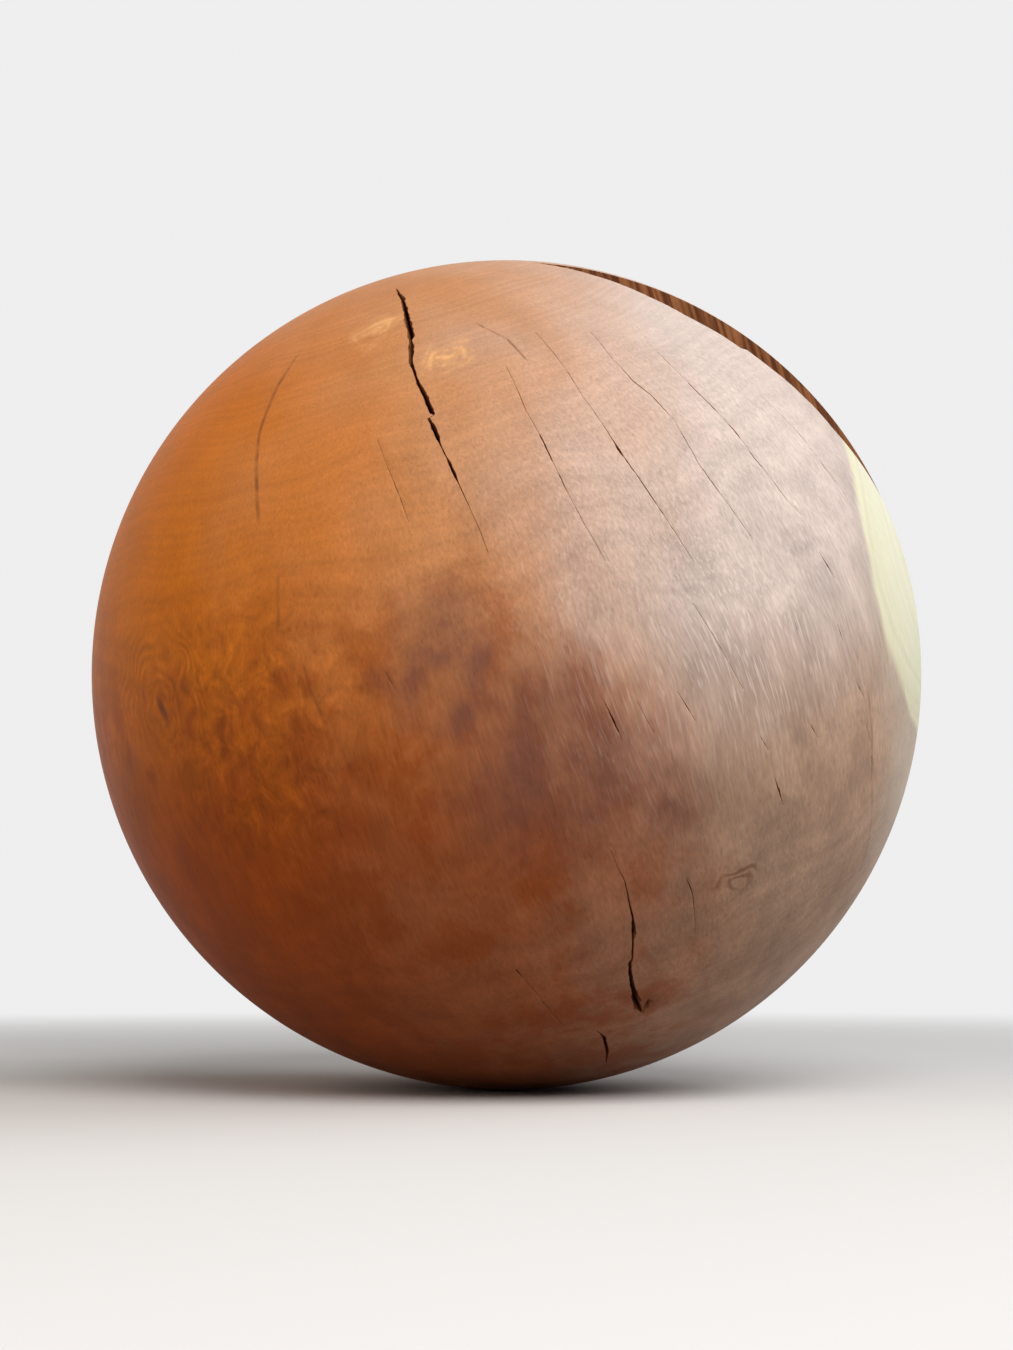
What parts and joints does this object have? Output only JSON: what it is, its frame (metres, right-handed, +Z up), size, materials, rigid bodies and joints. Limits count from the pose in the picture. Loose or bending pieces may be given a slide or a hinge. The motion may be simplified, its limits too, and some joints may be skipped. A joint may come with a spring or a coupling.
{
  "type": "solid wooden ball",
  "caption": "Large solid ball turned from the heart of a log, satin finished, with a wide drying split and smaller cracks along the grain, used as a decorative ball on a stand",
  "frame": {"origin": "the centre of the ball", "axes": "+Z is up as the ball rests, -Z points to its seat; -Y is the front, +X is to the right seen from the front"},
  "size_m": [0.3999, 0.3998, 0.4],
  "materials": {
    "heartwood": "satin oiled hardwood, reddish brown heart with a pale sapwood patch"
  },
  "bodies": {
    "root": {"ball": "heartwood"}
  },
  "joints": []
}
